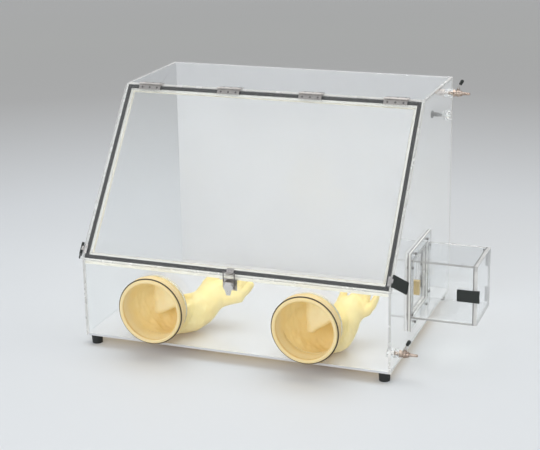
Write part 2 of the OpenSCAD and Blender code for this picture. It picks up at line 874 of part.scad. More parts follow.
module valve_body() {
    difference() {
        union() {
            rod_x(4, -4, 12);
            translate([11, 0, 0]) rotate([0, 90, 0]) cylinder(r = 9.5, h = 5, $fn = 6);
            rod_x(7.5, 16, 33);
            translate([valve_x, 0, 0]) sphere(r = 9);
            translate([valve_x, 0, 6]) cylinder(r = 4.2, h = 6.2);
            rotate([0, 90, 0]) rotate_extrude() polygon([
                [0, 33], [5.2, 33], [5.2, 36], [3.9, 36],
                [4.4, 36.4], [barb_r, 39.6], [4.4, 40], [barb_r, 43.2],
                [barb_r, barb_end - 1], [barb_r - 0.8, barb_end], [0, barb_end]
            ]);
        }
        rod_x(valve_bore, -5, barb_end + 1);
        translate([valve_x, 0, 0]) sphere(r = ball_r + pin_play);
        translate([valve_x, 0, 0]) cylinder(r = 2 + pin_play, h = 13);
    }
}

module valve_bodies() {
    home() color(BRASS) for (p = [lower_valve, upper_valve]) at_wall(p) valve_body();
}

module valve_ball() {
    color(STEEL) translate([valve_x, 0, 0]) difference() {
        union() {
            sphere(r = ball_r);
            cylinder(r = 2, h = 14);
        }
        rod_x(valve_bore, -6, 6);
    }
}

// Frame of a valve's lever arm, leaning out over the barb
module lever_arm() {
    translate([valve_x, 0, 15]) rotate([0, 29, 0]) children();
}

module valve_lever() {
    color(STEEL) difference() {
        union() {
            translate([valve_x, 0, 12.4]) cylinder(r = 3.6, h = 3.6);
            lever_arm() cylinder(r = 1.6, h = 20);
        }
        translate([valve_x, 0, 12]) cylinder(r = 2, h = 2);
    }
}

module valve_grip() {
    color(BLACK) lever_arm() difference() {
        union() {
            translate([0, 0, 10]) cylinder(r1 = 4, r2 = 4.6, h = 10);
            translate([0, 0, 20]) sphere(r = 4.6);
        }
        translate([0, 0, 9]) cylinder(r = 1.6, h = 11);
    }
}

module upper_valve_ball() {
    home() at_wall(upper_valve) valve_ball();
}

module upper_valve_lever() {
    home() at_wall(upper_valve) valve_lever();
}

module upper_valve_grip() {
    home() at_wall(upper_valve) valve_grip();
}

module lower_valve_ball() {
    home() at_wall(lower_valve) valve_ball();
}

module lower_valve_lever() {
    home() at_wall(lower_valve) valve_lever();
}

module lower_valve_grip() {
    home() at_wall(lower_valve) valve_grip();
}

module vent_tube() {
    home() color(CLEAR) at_wall(vent) difference() {
        rod_x(6, -33, 5);
        rod_x(vent_bore, -40, 10);
    }
}

module vent_stopper() {
    home() color(BLACK) at_wall(vent) {
        rod_x(vent_bore - pin_play, -34, -24);
        rod_x(5.6, -47, -33.1);
        rod_x(10, -51, -47);
    }
}

base_panel();
back_panel();
left_side_panel();
right_side_panel();
top_panel();
front_panel();
door_frame_rails();
door_gasket();
door_panel();
roof_hinge_leaves();
door_hinge_leaves();
door_hinge_pins();
roof_hinge_screws();
door_hinge_screws();
toggle_base();
toggle_lever();
toggle_loop();
toggle_strike();
toggle_pin();
toggle_screws();
strike_screws();
left_clip();
right_clip();
door_clip_brackets();
door_clip_pins();
clip_catches();
port_rings();
port_o_rings();
left_glove();
right_glove();
rubber_feet();
foot_screws();
pass_flange();
pass_flange_bolts();
pass_flange_nuts();
pass_tunnel();
pass_gaskets();
pass_outer_door();
pass_outer_hinge_leaves();
pass_clip();
pass_clip_bracket();
pass_clip_pin();
pass_clip_screws();
pass_inner_door();
pass_inner_hinge_leaves();
pass_inner_handle();
pass_frame_hinge_leaves();
pass_wall_hinge_leaves();
pass_hinge_blocks();
pass_hinge_pins();
wall_bosses();
valve_bodies();
upper_valve_ball();
upper_valve_lever();
upper_valve_grip();
lower_valve_ball();
lower_valve_lever();
lower_valve_grip();
vent_tube();
vent_stopper();
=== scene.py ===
import math

import bpy
import numpy as np
from mathutils import Matrix, Vector, noise


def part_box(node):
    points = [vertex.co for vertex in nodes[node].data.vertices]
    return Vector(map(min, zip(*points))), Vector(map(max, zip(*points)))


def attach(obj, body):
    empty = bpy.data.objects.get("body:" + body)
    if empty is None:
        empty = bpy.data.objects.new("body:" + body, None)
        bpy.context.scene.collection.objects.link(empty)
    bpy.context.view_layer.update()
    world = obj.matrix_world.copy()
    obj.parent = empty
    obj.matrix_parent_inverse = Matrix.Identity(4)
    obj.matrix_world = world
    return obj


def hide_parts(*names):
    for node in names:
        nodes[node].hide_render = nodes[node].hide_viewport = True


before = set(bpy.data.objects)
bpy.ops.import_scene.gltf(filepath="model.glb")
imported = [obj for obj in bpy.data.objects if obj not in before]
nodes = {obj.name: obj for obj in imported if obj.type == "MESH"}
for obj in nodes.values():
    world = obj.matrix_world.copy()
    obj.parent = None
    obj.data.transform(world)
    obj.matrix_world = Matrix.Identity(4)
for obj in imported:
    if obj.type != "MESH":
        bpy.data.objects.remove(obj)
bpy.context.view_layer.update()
scene = bpy.context.scene
MM = 0.001

# The chamber's lower front left corner, which the gloves are measured from in millimetres
PANEL = 6
base_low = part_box("base_panel")[0]
CORNER = Vector((base_low[0] - PANEL * MM, base_low[1], base_low[2]))

# The arm ports: their centres from the corner, and the sleeve's radius inside the ring
PORT_X = {"left": 200, "right": 600}
PORT_Z = 100
BORE_R = 74.6

GLOVE_WALL = 1.2
AIR = 0.04              # hair of air between two clear pieces that touch
GRID = 3
ACRYLIC_IOR = 1.49


def place(p):
    return CORNER + Vector(p) * MM


# ---------- node trees ----------
class Tree:
    """A material's node tree, with short names for the nodes used here."""

    def __init__(self, name):
        self.material = bpy.data.materials.new(name)
        self.material.use_nodes = True
        self.tree = self.material.node_tree
        self.tree.nodes.clear()
        self.out = self.add("ShaderNodeOutputMaterial")

    def add(self, kind, **values):
        node = self.tree.nodes.new(kind)
        for key, value in values.items():
            if hasattr(node, key):
                setattr(node, key, value)
            else:
                node.inputs[key.replace("_", " ")].default_value = value
        return node

    def link(self, a, b):
        self.tree.links.new(a, b)

    def noise(self, scale, detail=4, rough=0.5, stretch=None, source="Object"):
        coords = self.add("ShaderNodeTexCoord")
        tex = self.add("ShaderNodeTexNoise")
        tex.inputs["Scale"].default_value = scale
        tex.inputs["Detail"].default_value = detail
        tex.inputs["Roughness"].default_value = rough
        start = coords.outputs[source]
        if stretch:
            mapping = self.add("ShaderNodeMapping")
            mapping.inputs["Scale"].default_value = stretch
            self.link(start, mapping.inputs["Vector"])
            start = mapping.outputs["Vector"]
        self.link(start, tex.inputs["Vector"])
        return tex.outputs[0]

    def ramp(self, factor, stops):
        node = self.add("ShaderNodeValToRGB")
        points = node.color_ramp.elements
        while len(points) < len(stops):
            points.new(0.5)
        for point, (at, colour) in zip(points, stops):
            point.position = at
            point.color = (*colour, 1) if len(colour) == 3 else colour
        self.link(factor, node.inputs["Fac"])
        return node.outputs["Color"]

    def range(self, factor, low, high, start=0.3, end=0.7):
        node = self.add("ShaderNodeMapRange")
        for key, value in (("From Min", start), ("From Max", end), ("To Min", low), ("To Max", high)):
            node.inputs[key].default_value = value
        self.link(factor, node.inputs["Value"])
        return node.outputs["Result"]

    def mix(self, factor, a, b):
        """Mixes two colours. A Mix node's factor is input 0 and its colours are 6 and 7."""
        node = self.add("ShaderNodeMix", data_type="RGBA")
        for socket, value in ((node.inputs[0], factor), (node.inputs[6], a), (node.inputs[7], b)):
            if hasattr(value, "links"):
                self.link(value, socket)
            else:
                socket.default_value = value
        return node.outputs[2]

    def edges(self, radius, start=0.03, end=0.25):
        """1 within radius of a sharp edge, 0 on flat faces."""
        bevel = self.add("ShaderNodeBevel", samples=4)
        bevel.inputs["Radius"].default_value = radius
        geometry = self.add("ShaderNodeNewGeometry")
        dot = self.add("ShaderNodeVectorMath", operation="DOT_PRODUCT")
        self.link(bevel.outputs["Normal"], dot.inputs[0])
        self.link(geometry.outputs["Normal"], dot.inputs[1])
        return self.range(dot.outputs["Value"], 1, 0, 1 - end, 1 - start)

    def bump(self, height, strength, distance):
        node = self.add("ShaderNodeBump")
        node.inputs["Strength"].default_value = strength
        node.inputs["Distance"].default_value = distance
        self.link(height, node.inputs["Height"])
        return node.outputs["Normal"]

    def surface(self, colour, rough, normal=None, **values):
        node = self.add("ShaderNodeBsdfPrincipled")
        for key, value in (("Base Color", colour), ("Roughness", rough), ("Normal", normal)):
            if value is None:
                continue
            if hasattr(value, "links"):
                self.link(value, node.inputs[key])
            else:
                node.inputs[key].default_value = (*value, 1) if isinstance(value, tuple) else value
        for key, value in values.items():
            node.inputs[key.replace("_", " ")].default_value = value
        self.link(node.outputs[0], self.out.inputs["Surface"])
        return node

    def lamps_pass(self, shader, tint=(1, 1, 1)):
        """Lets the lamps light what is behind the material, tinted by it."""
        path = self.add("ShaderNodeLightPath")
        clear = self.add("ShaderNodeBsdfTransparent")
        clear.inputs["Color"].default_value = (*tint, 1)
        mixed = self.add("ShaderNodeMixShader")
        self.link(path.outputs["Is Shadow Ray"], mixed.inputs[0])
        self.link(shader.outputs[0], mixed.inputs[1])
        self.link(clear.outputs[0], mixed.inputs[2])
        self.link(mixed.outputs[0], self.out.inputs["Surface"])


def acrylic(name, tint, pass_tint, clear=0.985):
    t = Tree(name)
    haze = t.noise(9, 6, 0.6)
    smears = t.noise(60, 3, 0.5, stretch=(1, 0.25, 0.25))
    colour = t.ramp(haze, [(0.3, tint), (0.7, tuple(min(1, c * 1.012) for c in tint))])
    rough = t.range(haze, 0.0, 0.035)
    shader = t.surface(
        colour, rough, t.bump(smears, 0.012, 0.0004), Transmission_Weight=clear, IOR=ACRYLIC_IOR
    )
    t.lamps_pass(shader, pass_tint)
    return t.material


def acrylic_edge(name, tint, clear, rough_low=0.12, rough_high=0.38):
    """Polished edges scatter some light, so they look paler than the faces."""
    t = Tree(name)
    saw = t.noise(120, 3, 0.5)
    patch = t.noise(18, 4, 0.6)
    colour = t.ramp(patch, [(0.3, tint), (0.7, tuple(c * 0.9 for c in tint))])
    shader = t.surface(
        colour, t.range(patch, rough_low, rough_high), t.bump(saw, 0.02, 0.0003),
        Transmission_Weight=clear, IOR=ACRYLIC_IOR,
    )
    t.lamps_pass(shader, (0.9, 0.9, 0.9))
    return t.material


def steel(name, tint=(0.50, 0.475, 0.455), grain=(1, 40, 40), rough=(0.22, 0.42)):
    t = Tree(name)
    brushed = t.noise(30, 6, 0.7, stretch=grain)
    cloud = t.noise(45, 3, 0.5)
    bright = tuple(min(1, c * 1.3) for c in tint)
    colour = t.ramp(cloud, [(0.3, tint), (0.7, tuple((a + b) / 2 for a, b in zip(tint, bright)))])
    # Sharp edges are painted brighter: a painted highlight.
    colour = t.mix(t.edges(0.0004), colour, (*bright, 1))
    t.surface(colour, t.range(brushed, *rough), t.bump(brushed, 0.12, 0.0002), Metallic=1.0)
    return t.material


def brass():
    t = Tree("turned_brass")
    rings = t.noise(300, 3, 0.5, stretch=(1, 0.1, 0.1))
    cloud = t.noise(60, 5, 0.6)
    # A random dark-to-pale mottle: painted reflections of darker surroundings.
    colour = t.ramp(
        cloud, [(0.3, (0.33, 0.25, 0.20)), (0.6, (0.50, 0.41, 0.35)), (0.8, (0.64, 0.56, 0.50))]
    )
    # Sharp edges are painted pale: a painted highlight.
    colour = t.mix(t.edges(0.0005), colour, (0.9, 0.78, 0.68, 1))
    t.surface(colour, t.range(cloud, 0.2, 0.38), t.bump(rings, 0.15, 0.0002), Metallic=1.0)
    return t.material


def moulded(name, dark, pale, rough, grain=900, bump=0.2, edge_highlight=0.35):
    t = Tree(name)
    cloud = t.noise(35, 5, 0.6)
    fine = t.noise(grain, 2, 0.5)
    colour = t.ramp(cloud, [(0.3, dark), (0.7, pale)])
    # Sharp edges are painted paler by the given share: a painted highlight.
    edge = t.add("ShaderNodeMath", operation="MULTIPLY")
    t.link(t.edges(0.0006), edge.inputs[0])
    edge.inputs[1].default_value = edge_highlight
    colour = t.mix(edge.outputs[0], colour, (*(min(1, c * 2.2 + 0.03) for c in pale), 1))
    t.surface(colour, t.range(cloud, *rough), t.bump(fine, bump, 0.0002))
    return t.material


def foam(name, dark, pale):
    t = Tree(name)
    coords = t.add("ShaderNodeTexCoord")
    cells = t.add("ShaderNodeTexVoronoi")
    cells.inputs["Scale"].default_value = 1100
    t.link(coords.outputs["Object"], cells.inputs["Vector"])
    cloud = t.noise(40, 5, 0.6)
    colour = t.ramp(cloud, [(0.3, dark), (0.7, pale)])
    # Darker in the middle of each pore: painted shade in the hollows.
    pore_shade = t.ramp(cells.outputs["Distance"], [(0.0, (0.35, 0.35, 0.35)), (0.45, (1, 1, 1))])
    mixed = t.add("ShaderNodeMix", data_type="RGBA", blend_type="MULTIPLY")
    mixed.inputs[0].default_value = 1
    t.link(colour, mixed.inputs[6])
    t.link(pore_shade, mixed.inputs[7])
    t.surface(mixed.outputs[2], t.range(cloud, 0.75, 0.95), t.bump(cells.outputs["Distance"], 0.5, 0.0004))
    return t.material


def latex(name, stops, mottle_colour):
    t = Tree(name)
    cloud = t.noise(14, 5, 0.6)
    mottle = t.noise(90, 4, 0.6)
    skin = t.noise(700, 3, 0.6)
    colour = t.ramp(cloud, list(zip((0.25, 0.5, 0.75), stops)))
    colour = t.mix(t.range(mottle, 0.0, 0.25), colour, (*mottle_colour, 1))
    shader = t.surface(
        colour, t.range(mottle, 0.38, 0.55), t.bump(skin, 0.12, 0.0004),
        Subsurface_Weight=0.5, Subsurface_Radius=(0.0022, 0.002, 0.0018), Subsurface_Scale=1.0,
    )
    t.lamps_pass(shader, (0.68, 0.57, 0.37))
    return t.material


def flange_edge():
    """Polished edges of the pass box's flange: painted dark reflections along both arrises, pale between them.
    """
    t = Tree("flange_edge")
    coords = t.add("ShaderNodeTexCoord")
    parts = t.add("ShaderNodeSeparateXYZ")
    t.link(coords.outputs["Generated"], parts.inputs[0])
    # The dark bands along both arrises are painted reflections.
    dark, pale = (0.27, 0.26, 0.25), (0.80, 0.80, 0.78)
    colour = t.ramp(parts.outputs[0], [(0.0, dark), (0.16, dark), (0.32, pale), (0.68, pale), (0.84, dark)])
    smudge = t.noise(60, 4, 0.6)
    t.surface(colour, t.range(smudge, 0.25, 0.45), t.bump(smudge, 0.02, 0.0003))
    return t.material


def opal(name, low, high):
    """White right through with a polished face; what light gets through it is warm."""
    t = Tree(name)
    cloud = t.noise(7, 5, 0.6)
    smears = t.noise(50, 3, 0.5, stretch=(1, 0.3, 1))
    colour = t.ramp(cloud, [(0.3, low), (0.7, high)])
    shader = t.surface(
        colour, t.range(smears, 0.06, 0.14), t.bump(smears, 0.02, 0.0004),
        Subsurface_Weight=0.2, Subsurface_Radius=(0.004, 0.004, 0.004), Subsurface_Scale=1.0,
    )
    t.lamps_pass(shader, (0.78, 0.66, 0.47))
    return t.material


CLEAR = acrylic("clear_acrylic", (0.968, 0.978, 0.98), (0.985, 0.99, 0.99))
CLEAR_EDGE = acrylic_edge("clear_acrylic_edge", (0.93, 0.925, 0.90), 0.35)
FLANGE_EDGE = flange_edge()
PASS_EDGE = acrylic_edge("pass_box_edge", (0.90, 0.89, 0.87), 0.5, 0.06, 0.2)
RAIL = acrylic("rail_acrylic", (0.96, 0.955, 0.91), (0.98, 0.98, 0.97), 0.75)
RAIL_EDGE = acrylic_edge("rail_acrylic_edge", (0.95, 0.92, 0.81), 0.12, 0.3, 0.5)
# One white acrylic in two copies: the back panel's is a little paler and the base's a little darker, painted
# light and shade that even out how the lamps fall on them.
OPAL_BACK = opal("opal_back", (0.66, 0.67, 0.69), (0.69, 0.70, 0.715))
OPAL_BASE = opal("opal_base", (0.635, 0.645, 0.66), (0.66, 0.67, 0.685))
STEEL = steel("brushed_stainless")
# A darker steel; where it stands for the shade in screw holes it is painted shade.
DARK_STEEL_AND_SHADE = steel("dark_steel_and_painted_shade", (0.20, 0.19, 0.185), (40, 1, 40), (0.3, 0.5))
SCREW = steel("stainless_screws", (0.66, 0.64, 0.62), (1, 1, 1), (0.18, 0.34))
BRASS = brass()
BLACK_PLASTIC = moulded(
    "black_plastic", (0.009, 0.013, 0.011), (0.016, 0.021, 0.018), (0.4, 0.6), edge_highlight=0.2
)
BLACK_RUBBER = moulded(
    "black_rubber", (0.012, 0.014, 0.014), (0.026, 0.029, 0.029), (0.6, 0.8), 500, 0.35
)
BROWN_RUBBER = moulded("brown_rubber", (0.05, 0.033, 0.017), (0.085, 0.06, 0.033), (0.45, 0.6), 600, 0.2)
GASKET = foam("foam_gasket", (0.006, 0.0065, 0.0065), (0.013, 0.014, 0.0135))
SILICONE = moulded("silicone", (0.22, 0.22, 0.215), (0.33, 0.33, 0.32), (0.35, 0.5), 300, 0.1, 0.1)
TAN = moulded("amber_plastic", (0.52, 0.38, 0.15), (0.62, 0.47, 0.21), (0.3, 0.45), 400, 0.1, 0.2)
LATEX = latex(
    "natural_latex", ((0.94, 0.74, 0.31), (0.965, 0.79, 0.36), (0.98, 0.84, 0.44)), (0.93, 0.70, 0.28)
)
ROLLED = latex(
    "rolled_latex", ((0.87, 0.69, 0.34), (0.90, 0.72, 0.39), (0.92, 0.76, 0.45)), (0.86, 0.66, 0.33)
)
POWDERED = latex(
    "powdered_latex", ((0.91, 0.77, 0.47), (0.925, 0.81, 0.53), (0.94, 0.84, 0.59)), (0.91, 0.74, 0.43)
)

CLEAR_SHEETS = (
    "left_side_panel", "right_side_panel", "top_panel", "front_panel", "door_panel",
    "pass_flange", "pass_tunnel", "pass_outer_door", "pass_inner_door", "pass_hinge_blocks",
)
CLEAR_ROUNDS = ("port_rings", "wall_bosses", "vent_tube")
EDGES = {
    "pass_flange": FLANGE_EDGE, "pass_tunnel": PASS_EDGE,
    "pass_outer_door": PASS_EDGE, "pass_inner_door": PASS_EDGE,
}
FINISHES = {
    "base_panel": OPAL_BASE, "back_panel": OPAL_BACK,
    "door_gasket": GASKET, "pass_gaskets": SILICONE,
    "door_clip_brackets": SCREW, "door_clip_pins": SCREW,
    "toggle_lever": SCREW, "toggle_loop": DARK_STEEL_AND_SHADE, "toggle_screws": DARK_STEEL_AND_SHADE,
    # On the hinge screws this dark steel is partly painted shade, standing in for the shade in the screw holes.
    "door_hinge_screws": DARK_STEEL_AND_SHADE, "roof_hinge_screws": DARK_STEEL_AND_SHADE,
    "pass_flange_bolts": DARK_STEEL_AND_SHADE, "pass_flange_nuts": DARK_STEEL_AND_SHADE,
    "pass_outer_hinge_leaves": BLACK_PLASTIC, "pass_frame_hinge_leaves": BLACK_PLASTIC,
    "rubber_feet": BLACK_RUBBER, "vent_stopper": BLACK_PLASTIC, "port_o_rings": BROWN_RUBBER,
    "left_clip": BLACK_PLASTIC, "right_clip": BLACK_PLASTIC, "pass_clip": BLACK_PLASTIC,
    "upper_valve_grip": BLACK_PLASTIC, "lower_valve_grip": BLACK_PLASTIC,
    "pass_inner_handle": TAN, "valve_bodies": BRASS,
}


def flat_direction(mesh, solid_faces):
    """The direction that most of these faces' area looks along."""
    best = {}
    for i in solid_faces:
        n, area = mesh.polygons[i].normal, mesh.polygons[i].area
        key = tuple(round(abs(c), 1) for c in n)
        total, direction = best.get(key, (0, n.copy()))
        best[key] = (total + area, direction)
    return max(best.values(), key=lambda v: v[0])[1]


def loose_parts(mesh):
    """Lists of face indices, one list for each separate solid, told apart by shared vertex places."""
    place_of, group = {}, list(range(len(mesh.vertices)))

    def top(i):
        while group[i] != i:
            group[i] = group[group[i]]
            i = group[i]
        return i

    for v in mesh.vertices:
        key = tuple(round(c, 5) for c in v.co)
        group[v.index] = place_of.setdefault(key, v.index)
    for p in mesh.polygons:
        first = top(p.vertices[0])
        for other in p.vertices[1:]:
            group[top(other)] = first
    parts = {}
    for p in mesh.polygons:
        parts.setdefault(top(p.vertices[0]), []).append(p.index)
    return parts.values()


def dress_clear(obj, face_material, edge_material):
    """Clear faces, with the narrow sawn edges in their own material."""
    mesh = obj.data
    mesh.materials.clear()
    mesh.materials.append(face_material)
    mesh.materials.append(edge_material)
    for part in loose_parts(mesh):
        flat = flat_direction(mesh, part)
        for i in part:
            mesh.polygons[i].material_index = 0 if abs(mesh.polygons[i].normal.dot(flat)) > 0.8 else 1


def dress_round(obj):
    """Clear walls, with the cut ends of a tube or disc in the edge material."""
    mesh = obj.data
    mesh.materials.clear()
    mesh.materials.append(CLEAR)
    mesh.materials.append(CLEAR_EDGE)
    axis = 1 if obj.name.startswith("port_rings") else 0
    for p in mesh.polygons:
        p.material_index = 1 if abs(p.normal[axis]) > 0.95 else 0


def shrink(obj, by):
    """Draws a piece's faces in a little, so that they don't coincide with those of the next piece."""
    weld = obj.modifiers.new("weld", "WELD")
    weld.merge_threshold = 1e-6
    push = obj.modifiers.new("air", "DISPLACE")
    push.mid_level = 0
    push.strength = -by


for name, obj in nodes.items():
    if name in CLEAR_ROUNDS:
        dress_round(obj)
    elif name in CLEAR_SHEETS:
        dress_clear(obj, CLEAR, EDGES.get(name, CLEAR_EDGE))
    elif name == "door_frame_rails":
        dress_clear(obj, RAIL, RAIL_EDGE)
    elif name not in ("left_glove", "right_glove"):
        obj.data.materials.clear()
        obj.data.materials.append(FINISHES.get(name, SCREW if "screws" in name else STEEL))


# ---------- building meshes ----------
def shade_smooth(mesh):
    mesh.polygons.foreach_set("use_smooth", [True] * len(mesh.polygons))


def latex_piece(name, verts, faces, material):
    mesh = bpy.data.meshes.new(name)
    mesh.from_pydata([tuple(v) for v in verts], [], [tuple(f) for f in faces])
    mesh.materials.append(material)
    shade_smooth(mesh)
    mesh.update()
    obj = bpy.data.objects.new(name, mesh)
    scene.collection.objects.link(obj)
    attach(obj, "chamber")
    return obj


def apply_modifiers(obj):
    graph = bpy.context.evaluated_depsgraph_get()
    made = bpy.data.meshes.new_from_object(obj.evaluated_get(graph))
    obj.modifiers.clear()
    obj.data = made


# ---------- gloves ----------
def cone_field(p, a, b, ra, rb):
    """Distance from points p to a rounded cone from a to b."""
    a, b = np.asarray(a, float), np.asarray(b, float)
    along = b - a
    t = np.clip((p - a) @ along / (along @ along), 0, 1)
    return np.linalg.norm(p - a - t[:, None] * along, axis=1) - (ra + (rb - ra) * t)


def smooth_min(a, b, k):
    h = np.clip(0.5 + 0.5 * (b - a) / k, 0, 1)
    return b + (a - b) * h - k * h * (1 - h)


def chain_field(p, stops, k=None):
    made = None
    for (a, ra), (b, rb) in zip(stops, stops[1:]):
        d = cone_field(p, a, b, ra, rb)
        made = d if made is None else (np.minimum(made, d) if k is None else smooth_min(made, d, k))
    return made


def box_field(p, low, high, rounding):
    low, high = np.asarray(low, float), np.asarray(high, float)
    q = np.abs(p - (low + high) / 2) - (high - low) / 2 + rounding
    outside = np.linalg.norm(np.maximum(q, 0), axis=1)
    return outside + np.minimum(q.max(axis=1), 0) - rounding


def curve_stops(stops, steps=4):
    """More stops on a smooth curve through the given ones."""
    pts = np.array([[*c, r] for c, r in stops], float)
    made = []
    for i in range(len(pts) - 1):
        p0, p1, p2, p3 = pts[max(i - 1, 0)], pts[i], pts[i + 1], pts[min(i + 2, len(pts) - 1)]
        for s in range(steps):
            t = s / steps
            v = 0.5 * (2 * p1 + (p2 - p0) * t + (2 * p0 - 5 * p1 + 4 * p2 - p3) * t**2
                       + (3 * p1 - p0 - 3 * p2 + p3) * t**3)
            made.append((v[:3], v[3]))
    made.append((pts[-1][:3], pts[-1][3]))
    return made


def glove_field(spec):
    """Distance to the glove: the sleeve with its slanting fold, the palm and the fingers, blended."""
    sleeve = curve_stops(spec["sleeve"])
    lead = [((0, -200, 0), BORE_R), ((0, 12, 0), BORE_R)]

    def field(p):
        arm = smooth_min(chain_field(p, sleeve, 4), chain_field(p, lead), 3)
        low, high, rounding, slant = spec["dent"]
        lean = p + np.stack([0.04 * p[:, 2], 0.25 * p[:, 0] - 0.1 * p[:, 2], -slant * (p[:, 0] + 20)], 1)
        arm = -smooth_min(-arm, box_field(lean, low, high, rounding), 24)
        hand = chain_field(p, spec["palm"][0], 6)
        for strand in spec["palm"][1:]:
            hand = smooth_min(hand, chain_field(p, strand), 9)
        fingers = None
        for finger in spec["fingers"]:
            d = chain_field(p, curve_stops(finger, 2))
            fingers = d if fingers is None else smooth_min(fingers, d, 1.6)
        hand = smooth_min(hand, fingers, 5)
        return smooth_min(arm, hand, 12)

    return field


def surface_of(field, low, high, step):
    """Quads round the field's zero level, one vertex to a crossed cell, open where the box cuts it."""
    low = np.asarray(low, float)
    count = np.ceil((np.asarray(high, float) - low) / step).astype(int)
    axes = [low[i] + step * np.arange(count[i] + 1) for i in range(3)]
    grid = np.stack(np.meshgrid(*axes, indexing="ij"), -1)
    inside = (field(grid.reshape(-1, 3)) < 0).reshape(grid.shape[:3])
    corners = [
        inside[i:i + count[0], j:j + count[1], k:k + count[2]]
        for i in (0, 1) for j in (0, 1) for k in (0, 1)
    ]
    mixed = np.any(corners, axis=0) & ~np.all(corners, axis=0)
    index = -np.ones(mixed.shape, int)
    index[mixed] = np.arange(mixed.sum())
    verts = grid[:-1, :-1, :-1][mixed] + step / 2
    faces = []
    for axis in range(3):
        a, b = (axis + 1) % 3, (axis + 2) % 3
        first = np.take(inside, range(count[axis]), axis)
        second = np.take(inside, range(1, count[axis] + 1), axis)
        for at in np.argwhere(first != second):
            if at[a] in (0, count[a]) or at[b] in (0, count[b]):
                continue
            quad = []
            for da, db in ((-1, -1), (0, -1), (0, 0), (-1, 0)):
                cell = at.copy()
                cell[a] += da
                cell[b] += db
                quad.append(index[tuple(cell)])
            faces.append(quad if first[tuple(at)] else quad[::-1])
    return verts, faces


def settle(field, verts, rounds=5, reach=3):
    """Moves each vertex onto the field's zero level."""
    for _ in range(rounds):
        d = field(verts)
        grad = np.stack([field(verts + e) - d for e in np.eye(3) * 0.2], 1) / 0.2
        grad /= np.maximum(np.linalg.norm(grad, axis=1), 1e-6)[:, None]
        verts = verts - grad * np.clip(d, -reach, reach)[:, None]
    return verts, grad


def relax(verts, faces, keep, rounds, share=0.5):
    """Evens out the spacing of the vertices, apart from those to keep."""
    quads = np.array(faces)
    for _ in range(rounds):
        total = np.zeros_like(verts)
        number = np.zeros(len(verts))
        for i in range(4):
            for j in ((i + 1) % 4, (i + 3) % 4):
                np.add.at(total, quads[:, i], verts[quads[:, j]])
                np.add.at(number, quads[:, i], 1)
        number[number == 0] = 1
        mean = total / number[:, None]
        verts = np.where(keep[:, None], verts, verts + (mean - verts) * share)
    return verts


def fold_height(p, seed, sleeve_end):
    """Creases across the sleeve, finer ones on the hand, none on the ring."""
    made = np.zeros(len(p))
    for i, v in enumerate(p):
        q = Vector(v)
        wander = noise.noise(q * 0.013 + Vector((seed, 0, 0))) * 3.0
        crease = math.sin((v[1] + 0.35 * v[0]) * 0.21 + wander * 2.2)
        crease = (0.5 + 0.5 * crease) ** 3
        broad = noise.fractal(q * 0.03 + Vector((0, seed, 0)), 1.0, 2.0, 3)
        on_sleeve = min(1, max(0, (v[1] - 12) / 26)) * min(1, max(0, (sleeve_end - v[1]) / 30))
        on_hand = min(1, max(0, (v[1] - sleeve_end + 10) / 20))
        fine = noise.noise(q * 0.11 + Vector((0, 0, seed)))
        made[i] = on_sleeve * (3.0 * broad - 0.7 * crease) + on_hand * (0.7 * fine + 1.0 * broad)
    return made


def make_glove(name, centre, spec, seed):
    field = glove_field(spec)
    low, high = spec["box"]
    verts, faces = surface_of(field, low, high, GRID)
    rim = verts[:, 1] < low[1] + GRID
    verts, _ = settle(field, verts)
    verts = relax(verts, faces, rim, 3)
    verts, normals = settle(field, verts, 2)
    verts = verts + normals * fold_height(verts, seed, spec["sleeve_end"])[:, None]
    verts = relax(verts, faces, rim, 1, 0.35)
    world = [place(np.asarray(centre) + v) for v in verts]
    obj = latex_piece(name, world, faces, LATEX)
    wall = obj.modifiers.new("wall", "SOLIDIFY")
    wall.thickness = GLOVE_WALL * MM
    wall.offset = -1
    wall.material_offset = 1        # the inner wall takes the second material
    obj.data.materials.append(POWDERED)
    soft = obj.modifiers.new("soft", "SUBSURF")
    soft.levels = soft.render_levels = 1
    apply_modifiers(obj)
    shade_smooth(obj.data)
    return obj


# The cuff's closed outline of (radius, depth): first its free edge, then out and over the port ring's rim,
# and back down inside
CUFF = [
    (83.4, -13.2), (84.2, -14.8), (83.5, -16.4), (82.1, -17.0), (82.0, -24.0), (81.9, -30.0), (81.9, -38.0),
    (81.5, -40.2), (80.3, -41.5), (78.0, -41.9), (76.0, -41.8), (74.3, -41.2), (73.3, -39.8), (73.0, -37.5),
    (73.2, -33.0), (74.4, -33.0), (74.5, -38.0), (75.3, -40.0), (77.0, -40.5), (79.6, -40.4), (80.4, -38.5),
    (80.4, -30.0), (80.4, -18.0), (80.6, -14.5), (81.8, -13.0),
]

CUFF_AROUND = 128
CUFF_WOBBLE = 1.6
FREE_EDGE = (0, 1, 2)


def make_cuff(name, centre, seed):
    """Turns the outline about the port's axis, with a slight unevenness that is most at the free edge."""
    verts, faces = [], []
    n = len(CUFF)
    for i in range(CUFF_AROUND):
        a = 2 * math.pi * i / CUFF_AROUND
        uneven = noise.noise(Vector((math.cos(a) * 2.5, math.sin(a) * 2.5, seed))) * CUFF_WOBBLE
        for j, (r, y) in enumerate(CUFF):
            free = 1 if j in FREE_EDGE else 0.15
            verts.append(place((centre[0] + r * math.cos(a), centre[1] + y + uneven * free,
                                centre[2] + r * math.sin(a))))
    for i in range(CUFF_AROUND):
        k = (i + 1) % CUFF_AROUND
        for j in range(n):
            m = (j + 1) % n
            faces.append((i * n + j, i * n + m, k * n + m, k * n + j))
    latex_piece(name, verts, faces, ROLLED)


